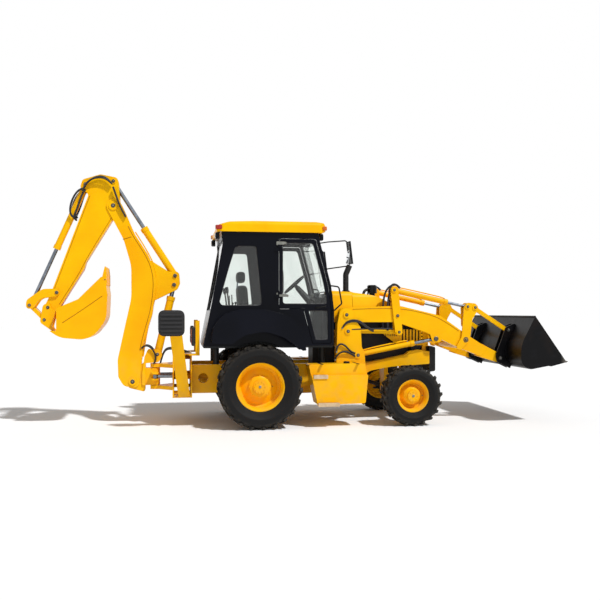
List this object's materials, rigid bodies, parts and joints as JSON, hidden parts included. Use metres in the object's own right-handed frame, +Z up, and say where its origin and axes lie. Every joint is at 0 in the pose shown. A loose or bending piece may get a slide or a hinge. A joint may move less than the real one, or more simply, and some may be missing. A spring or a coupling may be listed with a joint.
{
  "type": "backhoe loader",
  "caption": "Wheeled backhoe loader with a self-levelling front loader, closed cab, folding rear digging arm and swing-out stabilizers.",
  "frame": {"origin": "on the floor, below the middle of the whole machine", "axes": "+X forward to the loader bucket, +Y to the machine's left, +Z up"},
  "size_m": [7.99, 2.3, 3.733],
  "materials": {
    "yellow_paint": "gloss",
    "black_paint": "satin",
    "dark_paint": "gloss",
    "cast_iron": "matte",
    "floor_plastic": "matte",
    "seat_fabric": "woven",
    "tyre": "matte",
    "chrome": "polished",
    "pin_steel": "brushed"
  },
  "bodies": {
    "chassis": {"chassis_frame": "yellow_paint", "rear_frame": "yellow_paint", "nose_bumper": "black_paint", "drivetrain": "cast_iron", "engine_cowl": "yellow_paint", "exhaust_stack": "black_paint", "cab_frame": "dark_paint", "cab_roof": "yellow_paint", "cab_base": "floor_plastic", "seat": "seat_fabric", "side_tanks": "yellow_paint", "mirrors_and_rails": "black_paint", "swing_barrels": "yellow_paint"},
    "hood_body": {"hood": "yellow_paint", "air_precleaner": "black_paint"},
    "boom_body": {"boom": "yellow_paint", "crowd_barrel": "yellow_paint"},
    "rear_wheel_left": {"rear_rim_left": "yellow_paint", "rear_tyre_left": "tyre"},
    "front_wheel_left": {"front_rim_left": "yellow_paint", "front_tyre_left": "tyre"},
    "rear_wheel_right": {"rear_rim_right": "yellow_paint", "rear_tyre_right": "tyre"},
    "front_wheel_right": {"front_rim_right": "yellow_paint", "front_tyre_right": "tyre"},
    "backhoe_bucket_body": {"backhoe_bucket": "yellow_paint"},
    "bell_cranks_body": {"bell_cranks": "yellow_paint"},
    "boom_barrel_body": {"boom_barrel": "yellow_paint"},
    "boom_rod_body": {"boom_rod": "chrome"},
    "bucket_hinge_pins_body": {"bucket_hinge_pins": "pin_steel"},
    "bucket_link_body": {"bucket_link": "yellow_paint"},
    "crank_bushes_body": {"crank_bushes": "pin_steel"},
    "crowd_rod_body": {"crowd_rod": "chrome"},
    "curl_barrel_body": {"curl_barrel": "yellow_paint"},
    "curl_rod_body": {"curl_rod": "chrome"},
    "dipper_body": {"dipper": "yellow_paint"},
    "door_left_body": {"door_left": "dark_paint"},
    "door_right_body": {"door_right": "dark_paint"},
    "levelling_levers_body": {"levelling_levers": "yellow_paint"},
    "levelling_links_body": {"levelling_links": "yellow_paint"},
    "lift_barrels_body": {"lift_barrels": "yellow_paint"},
    "lift_rods_body": {"lift_rods": "chrome"},
    "link_bushes_body": {"link_bushes": "pin_steel"},
    "loader_arms_body": {"loader_arms": "yellow_paint"},
    "loader_bucket_body": {"loader_bucket": "black_paint"},
    "stabilizer_barrel_left_body": {"stabilizer_barrel_left": "yellow_paint"},
    "stabilizer_barrel_right_body": {"stabilizer_barrel_right": "yellow_paint"},
    "stabilizer_leg_left_body": {"stabilizer_leg_left": "yellow_paint"},
    "stabilizer_leg_right_body": {"stabilizer_leg_right": "yellow_paint"},
    "stabilizer_rod_left_body": {"stabilizer_rod_left": "chrome"},
    "stabilizer_rod_right_body": {"stabilizer_rod_right": "chrome"},
    "steering_knuckle_left_body": {"steering_knuckle_left": "yellow_paint"},
    "steering_knuckle_right_body": {"steering_knuckle_right": "yellow_paint"},
    "swing_post_body": {"swing_post": "yellow_paint"},
    "swing_rod_left_body": {"swing_rod_left": "chrome"},
    "swing_rod_right_body": {"swing_rod_right": "chrome"},
    "tilt_barrels_body": {"tilt_barrels": "yellow_paint"},
    "tilt_links_body": {"tilt_links": "yellow_paint"},
    "tilt_rods_body": {"tilt_rods": "chrome"},
    "tipping_lever_body": {"tipping_lever": "yellow_paint"}
  },
  "joints": [
    {"name": "rear_wheel_left", "type": "hinge", "parent": "chassis", "child": "rear_wheel_left", "pos_m": [-0.633, 0.86, 0.605], "axis": [0, 1, 0], "continuous": true},
    {"name": "rear_wheel_right", "type": "hinge", "parent": "chassis", "child": "rear_wheel_right", "pos_m": [-0.633, -0.86, 0.605], "axis": [0, 1, 0], "continuous": true},
    {"name": "steering_left", "type": "hinge", "parent": "chassis", "child": "steering_knuckle_left_body", "pos_m": [1.616, 0.65, 0.443], "axis": [0, 0, 1], "range_deg": [-30, 30]},
    {"name": "steering_right", "type": "hinge", "parent": "chassis", "child": "steering_knuckle_right_body", "pos_m": [1.616, -0.65, 0.443], "axis": [0, 0, 1], "range_deg": [-30.01, 30.01]},
    {"name": "front_wheel_left", "type": "hinge", "parent": "steering_knuckle_left_body", "child": "front_wheel_left", "pos_m": [1.616, 0.916, 0.443], "axis": [0, 1, 0], "continuous": true},
    {"name": "door_left", "type": "hinge", "parent": "chassis", "child": "door_left_body", "pos_m": [-0.337, 0.766, 2], "axis": [0, 0, 1], "range_deg": [0, 90]},
    {"name": "front_wheel_right", "type": "hinge", "parent": "steering_knuckle_right_body", "child": "front_wheel_right", "pos_m": [1.616, -0.916, 0.443], "axis": [0, 1, 0], "continuous": true},
    {"name": "door_right", "type": "hinge", "parent": "chassis", "child": "door_right_body", "pos_m": [-0.337, -0.766, 2], "axis": [0, 0, -1], "range_deg": [0, 90]},
    {"name": "hood_lift", "type": "hinge", "parent": "chassis", "child": "hood_body", "pos_m": [0.855, 0, 2], "axis": [0, -1, 0], "range_deg": [0, 40]},
    {"name": "loader_lift", "type": "hinge", "parent": "chassis", "child": "loader_arms_body", "pos_m": [0.708, 0, 1.633], "axis": [0, -1, 0], "range_deg": [-19.3, 57.7]},
    {"name": "lift_barrel_swing", "type": "hinge", "parent": "chassis", "child": "lift_barrels_body", "pos_m": [0.882, 0, 1.026], "axis": [0, -1, 0], "range_deg": [-17.38, 51.94]},
    {"name": "lift_rod_slide", "type": "slide", "parent": "lift_barrels_body", "child": "lift_rods_body", "axis": [0.9821, 0, 0.1885], "range_m": [-0.1923, 0.57452]},
    {"name": "levelling_lever_turn", "type": "hinge", "parent": "loader_arms_body", "child": "levelling_levers_body", "pos_m": [1.502, 0, 1.619], "axis": [0, -1, 0], "range_deg": [-57.71, 19.31]},
    {"name": "levelling_link_turn", "type": "hinge", "parent": "chassis", "child": "levelling_links_body", "pos_m": [0.73, 0, 1.385], "axis": [0, -1, 0], "range_deg": [-19.31, 57.71]},
    {"name": "crank_bush_turn", "type": "hinge", "parent": "loader_arms_body", "child": "crank_bushes_body", "pos_m": [2.592, 0, 1.247], "axis": [0, -1, 0], "range_deg": [-44.27, 14.81]},
    {"name": "bell_crank_turn", "type": "hinge", "parent": "crank_bushes_body", "child": "bell_cranks_body", "pos_m": [2.592, 0, 1.247], "axis": [0, -1, 0], "range_deg": [-50.71, 25.36]},
    {"name": "link_bush_turn", "type": "hinge", "parent": "bell_cranks_body", "child": "link_bushes_body", "pos_m": [2.742, 0, 1.745], "axis": [0, -1, 0], "range_deg": [-13.89, 41.5]},
    {"name": "tilt_link_turn", "type": "hinge", "parent": "link_bushes_body", "child": "tilt_links_body", "pos_m": [2.742, 0, 1.745], "axis": [0, -1, 0], "range_deg": [-24.01, 48.01]},
    {"name": "bucket_pin_turn", "type": "hinge", "parent": "loader_arms_body", "child": "bucket_hinge_pins_body", "pos_m": [3.152, 0, 0.96], "axis": [0, -1, 0], "range_deg": [-51.94, 17.38]},
    {"name": "bucket_tilt", "type": "hinge", "parent": "bucket_hinge_pins_body", "child": "loader_bucket_body", "pos_m": [3.152, 0, 0.96], "axis": [0, -1, 0], "range_deg": [-60, 30]},
    {"name": "tilt_barrel_turn", "type": "hinge", "parent": "levelling_levers_body", "child": "tilt_barrels_body", "pos_m": [1.449, 0, 2.01], "axis": [0, -1, 0], "range_deg": [-18.81, 56.21]},
    {"name": "tilt_rod_slide", "type": "slide", "parent": "tilt_barrels_body", "child": "tilt_rods_body", "axis": [0.9774, 0, -0.2112], "range_m": [-0.21016, 0.42013]},
    {"name": "swing", "type": "hinge", "parent": "chassis", "child": "swing_post_body", "pos_m": [-2.133, 0, 0.714], "axis": [0, 0, 1], "range_deg": [-76, 76]},
    {"name": "swing_rod_left_slide", "type": "slide", "parent": "chassis", "child": "swing_rod_left_body", "axis": [1, 0, 0], "range_m": [-0.16065, 0.16065]},
    {"name": "swing_rod_right_slide", "type": "slide", "parent": "chassis", "child": "swing_rod_right_body", "axis": [1, 0, 0], "range_m": [-0.16065, 0.16065]},
    {"name": "boom_lift", "type": "hinge", "parent": "swing_post_body", "child": "boom_body", "pos_m": [-2.463, 0, 0.629], "axis": [0, -1, 0], "range_deg": [0, 85]},
    {"name": "boom_barrel_turn", "type": "hinge", "parent": "swing_post_body", "child": "boom_barrel_body", "pos_m": [-2.098, 0, 1.035], "axis": [0, -1, 0], "range_deg": [0, 92.62]},
    {"name": "boom_rod_slide", "type": "slide", "parent": "boom_barrel_body", "child": "boom_rod_body", "axis": [0.2292, 0, 0.9734], "range_m": [0, 0.7143]},
    {"name": "dipper_swing", "type": "hinge", "parent": "boom_body", "child": "dipper_body", "pos_m": [-2.748, 0, 3.267], "axis": [0, -1, 0], "range_deg": [-115, 0]},
    {"name": "crowd_rod_slide", "type": "slide", "parent": "boom_body", "child": "crowd_rod_body", "axis": [-0.5421, 0, 0.8403], "range_m": [-0.6242, 0]},
    {"name": "digging_bucket_curl", "type": "hinge", "parent": "dipper_body", "child": "backhoe_bucket_body", "pos_m": [-3.685, 0, 1.742], "axis": [0, -1, 0], "range_deg": [-130, 15]},
    {"name": "tipping_lever_turn", "type": "hinge", "parent": "dipper_body", "child": "tipping_lever_body", "pos_m": [-3.558, 0, 1.963], "axis": [0, -1, 0], "range_deg": [-54.61, 6.31]},
    {"name": "bucket_link_turn", "type": "hinge", "parent": "tipping_lever_body", "child": "bucket_link_body", "pos_m": [-3.943, 0, 1.775], "axis": [0, -1, 0], "range_deg": [-3.31, 28.61]},
    {"name": "curl_barrel_turn", "type": "hinge", "parent": "dipper_body", "child": "curl_barrel_body", "pos_m": [-3.152, 0, 3.583], "axis": [0, -1, 0], "range_deg": [-5.86, 0.69]},
    {"name": "curl_rod_slide", "type": "slide", "parent": "curl_barrel_body", "child": "curl_rod_body", "axis": [-0.4008, 0, -0.9162], "range_m": [-0.34508, 0.03999]},
    {"name": "stabilizer_left", "type": "hinge", "parent": "chassis", "child": "stabilizer_leg_left_body", "pos_m": [-1.708, 0.52, 0.5], "axis": [-1, 0, 0], "range_deg": [0, 84]},
    {"name": "stabilizer_barrel_left_turn", "type": "hinge", "parent": "chassis", "child": "stabilizer_barrel_left_body", "pos_m": [-1.738, 0.06, 0.985], "axis": [-1, 0, 0], "range_deg": [0, 29.81]},
    {"name": "stabilizer_rod_left_slide", "type": "slide", "parent": "stabilizer_barrel_left_body", "child": "stabilizer_rod_left_body", "axis": [0, 0.993, -0.1177], "range_m": [0, 0.4225]},
    {"name": "stabilizer_right", "type": "hinge", "parent": "chassis", "child": "stabilizer_leg_right_body", "pos_m": [-1.708, -0.52, 0.5], "axis": [1, 0, 0], "range_deg": [0, 84]},
    {"name": "stabilizer_barrel_right_turn", "type": "hinge", "parent": "chassis", "child": "stabilizer_barrel_right_body", "pos_m": [-1.738, -0.06, 0.985], "axis": [1, 0, 0], "range_deg": [0, 29.81]},
    {"name": "stabilizer_rod_right_slide", "type": "slide", "parent": "stabilizer_barrel_right_body", "child": "stabilizer_rod_right_body", "axis": [0, -0.993, -0.1177], "range_m": [0, 0.4225]}
  ],
  "couplings": [
    {"joint": "steering_right", "follows": "steering_left", "ratio": 1},
    {"joint": "lift_barrel_swing", "follows": "loader_lift", "ratio": 0.9},
    {"joint": "lift_rod_slide", "follows": "loader_lift", "m_per_rad": 0.5703},
    {"joint": "levelling_lever_turn", "follows": "loader_lift", "ratio": -1},
    {"joint": "levelling_link_turn", "follows": "loader_lift", "ratio": 1},
    {"joint": "crank_bush_turn", "follows": "loader_lift", "ratio": -0.767},
    {"joint": "bell_crank_turn", "follows": "bucket_tilt", "ratio": 0.845},
    {"joint": "link_bush_turn", "follows": "loader_lift", "ratio": 0.719},
    {"joint": "tilt_link_turn", "follows": "bucket_tilt", "ratio": -0.8},
    {"joint": "bucket_pin_turn", "follows": "loader_lift", "ratio": -0.9},
    {"joint": "tilt_barrel_turn", "follows": "loader_lift", "ratio": 0.974},
    {"joint": "tilt_rod_slide", "follows": "bucket_tilt", "m_per_rad": -0.401},
    {"joint": "swing_rod_left_slide", "follows": "swing", "m_per_rad": -0.12096},
    {"joint": "swing_rod_right_slide", "follows": "swing", "m_per_rad": 0.12096},
    {"joint": "boom_barrel_turn", "follows": "boom_lift", "ratio": 1.0895},
    {"joint": "boom_rod_slide", "follows": "boom_lift", "m_per_rad": 0.48135},
    {"joint": "crowd_rod_slide", "follows": "dipper_swing", "m_per_rad": 0.31089},
    {"joint": "tipping_lever_turn", "follows": "digging_bucket_curl", "ratio": 0.42},
    {"joint": "bucket_link_turn", "follows": "digging_bucket_curl", "ratio": -0.22},
    {"joint": "curl_barrel_turn", "follows": "digging_bucket_curl", "ratio": 0.045},
    {"joint": "curl_rod_slide", "follows": "digging_bucket_curl", "m_per_rad": 0.152},
    {"joint": "stabilizer_barrel_left_turn", "follows": "stabilizer_left", "ratio": 0.35476},
    {"joint": "stabilizer_rod_left_slide", "follows": "stabilizer_left", "m_per_rad": 0.28805},
    {"joint": "stabilizer_barrel_right_turn", "follows": "stabilizer_right", "ratio": 0.35476},
    {"joint": "stabilizer_rod_right_slide", "follows": "stabilizer_right", "m_per_rad": 0.28805}
  ]
}
